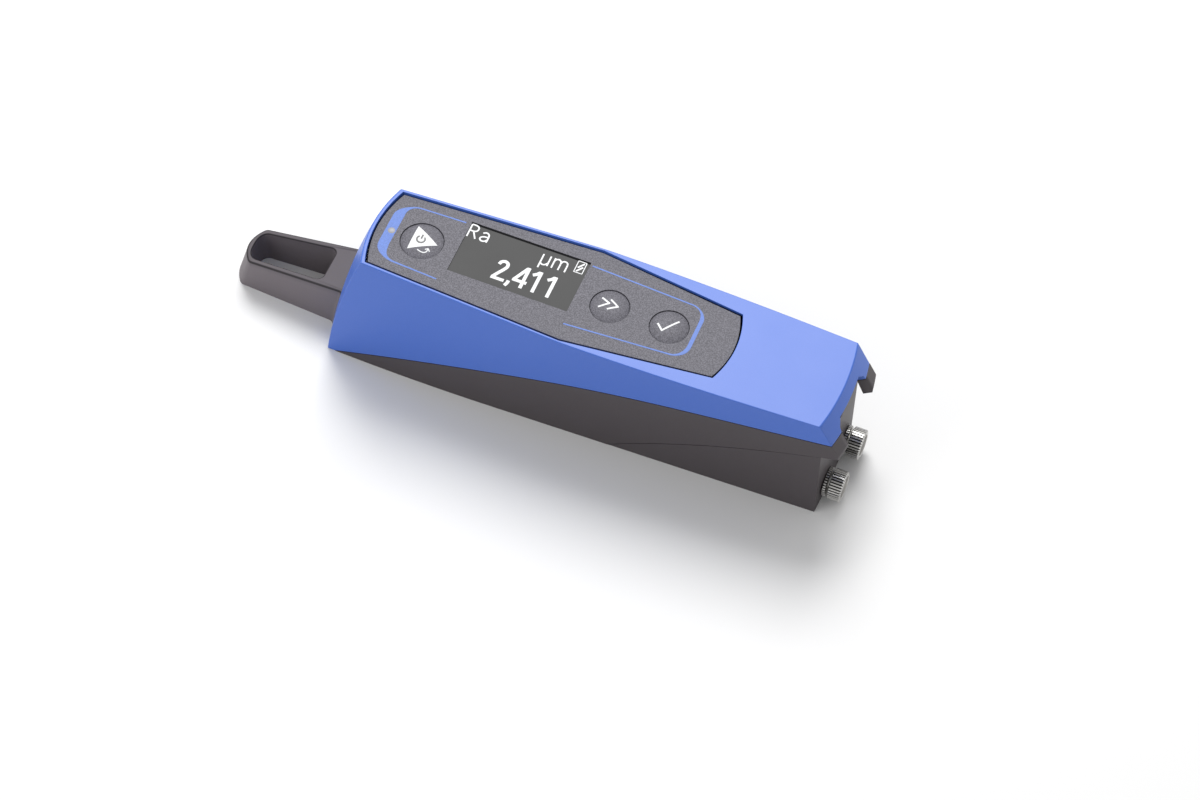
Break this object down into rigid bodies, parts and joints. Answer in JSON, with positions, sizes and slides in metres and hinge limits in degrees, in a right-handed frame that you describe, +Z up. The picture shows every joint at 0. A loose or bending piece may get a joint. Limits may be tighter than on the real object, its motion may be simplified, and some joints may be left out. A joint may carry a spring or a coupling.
{
  "type": "surface roughness tester",
  "caption": "Hand-held surface roughness tester with a two-tone moulded housing, a display and key panel on top and a motor-driven stylus pick-up that runs out through a slotted nose guard.",
  "frame": {"origin": "on the surface that the instrument stands on, below the middle of its length and width", "axes": "+X from the nose towards the thumb screws, +Y from the user's near side to the far side, +Z up out of the display"},
  "size_m": [0.1544, 0.0296, 0.0344],
  "materials": {
    "blue_shell": "satin moulded plastic",
    "dark_shell": "fine matt texture",
    "nose_grey": "satin",
    "panel_film": "fine speckled matt film",
    "key_grey": "fine speckled matt film",
    "clear_window": "smoke tint, semi-gloss",
    "display_black": "smooth",
    "light_grey": "frosted",
    "inner_plastic": "as moulded",
    "board": "solder-resist",
    "steel": "ground",
    "bright_metal": "bright nickel, straight knurl",
    "aluminium": "milled",
    "brass": "turned"
  },
  "bodies": {
    "housing": {"upper_shell": "blue_shell", "lower_shell": "dark_shell", "base_cover": "dark_shell", "nose_guard": "nose_grey", "panel_overlay": "panel_film", "display_window": "clear_window", "oled_module": "display_black", "display_frame": "inner_plastic", "main_board": "board", "key_switches": "display_black", "status_led": "inner_plastic", "light_pipe": "light_grey", "usb_socket": "steel", "board_screws": "steel", "battery": "inner_plastic", "drive_frame": "aluminium", "guide_rods": "steel", "screw_bearing": "brass", "gear_motor": "steel", "nose_screws": "steel", "housing_screws": "steel", "threaded_inserts": "brass", "lock_rings": "bright_metal"},
    "power_button": {"power_key": "key_grey"},
    "next_button": {"next_key": "key_grey"},
    "enter_button": {"enter_key": "key_grey"},
    "traverse": {"carriage": "aluminium", "lead_nut": "brass", "pick_up": "steel", "stylus_pin": "steel"},
    "stylus": {"stylus_arm": "brass"},
    "screw": {"lead_screw": "steel", "shaft_coupling": "brass", "motor_shaft": "steel"},
    "thumb_near": {"thumb_screw_near": "bright_metal"},
    "thumb_far": {"thumb_screw_far": "bright_metal"}
  },
  "joints": [
    {"name": "power_press", "type": "slide", "parent": "housing", "child": "power_button", "axis": [0, 0, -1], "range_m": [0, 0.0004], "stiffness_N_per_m": 800},
    {"name": "next_press", "type": "slide", "parent": "housing", "child": "next_button", "axis": [0, 0, -1], "range_m": [0, 0.0004], "stiffness_N_per_m": 800},
    {"name": "enter_press", "type": "slide", "parent": "housing", "child": "enter_button", "axis": [0, 0, -1], "range_m": [0, 0.0004], "stiffness_N_per_m": 800},
    {"name": "traverse_run", "type": "slide", "parent": "housing", "child": "traverse", "axis": [-1, 0, 0], "range_m": [0, 0.015]},
    {"name": "screw_turn", "type": "hinge", "parent": "housing", "child": "screw", "pos_m": [-0.02, 0, 0.018], "axis": [1, 0, 0], "range_deg": [-10, 2710]},
    {"name": "stylus_rock", "type": "hinge", "parent": "traverse", "child": "stylus", "pos_m": [-0.04018, 0, 0.007], "axis": [0, 1, 0], "range_deg": [-1.2, 2], "stiffness_Nm_per_rad": 0.0005},
    {"name": "thumb_near_turn", "type": "hinge", "parent": "housing", "child": "thumb_near", "pos_m": [0.0726, -0.0062, 0.0048], "axis": [1, 0, 0], "continuous": true},
    {"name": "thumb_far_turn", "type": "hinge", "parent": "housing", "child": "thumb_far", "pos_m": [0.0726, 0.0062, 0.0048], "axis": [1, 0, 0], "continuous": true}
  ],
  "couplings": [
    {"joint": "screw_turn", "follows": "traverse_run", "rad_per_m": 3141.6}
  ]
}
